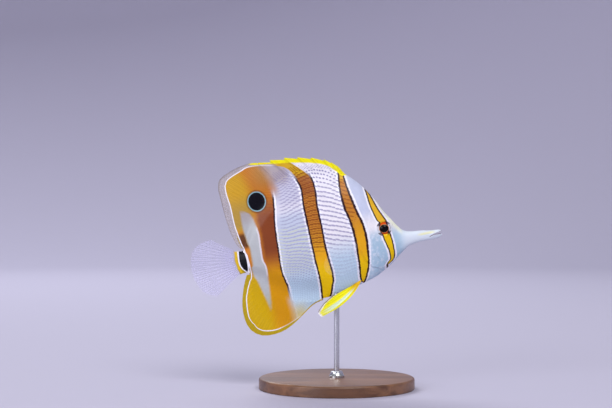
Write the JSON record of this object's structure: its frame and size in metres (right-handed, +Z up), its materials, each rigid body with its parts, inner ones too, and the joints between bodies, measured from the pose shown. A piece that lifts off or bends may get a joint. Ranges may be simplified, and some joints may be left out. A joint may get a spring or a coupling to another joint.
{
  "type": "copperband butterflyfish model",
  "caption": "Life-size still model of a slender-snouted, disc-bodied reef fish with orange bars and an eyespot, held nose up on a rod over a flat round stand.",
  "frame": {"origin": "centre of the stand base's underside", "axes": "+X horizontal, the way the fish's snout points in plan; +Y to the fish's left side; +Z up from the surface that the stand rests on"},
  "size_m": [0.1366, 0.084, 0.1249],
  "materials": {
    "skin": "pearly white skin with golden orange bars and fine scales, satin wet gloss",
    "yellow_fin": "bright yellow fin membrane between ridged rays",
    "orange_fin": "golden orange fin membrane with a pale line near its edge",
    "clear_fin": "clear fin membrane with fine rays",
    "eye": "black pupil in a thin pale ring, glassy",
    "wood": "dark walnut, satin varnish",
    "steel": "brushed stainless steel"
  },
  "bodies": {
    "root": {"torso": "skin", "head": "skin", "snout": "skin", "lower_jaw": "skin", "tail_stalk": "skin", "gill_cover_left": "skin", "gill_cover_right": "skin", "dorsal_fin_spiny": "yellow_fin", "dorsal_fin_soft": "orange_fin", "anal_fin": "orange_fin", "pelvic_fin_left": "yellow_fin", "pelvic_fin_right": "yellow_fin", "tail_fin": "clear_fin", "pectoral_fin_left": "clear_fin", "pectoral_fin_right": "clear_fin", "eye_left": "eye", "eye_right": "eye", "stand_base": "wood", "stand_collar": "steel", "stand_rod": "steel"}
  },
  "joints": []
}
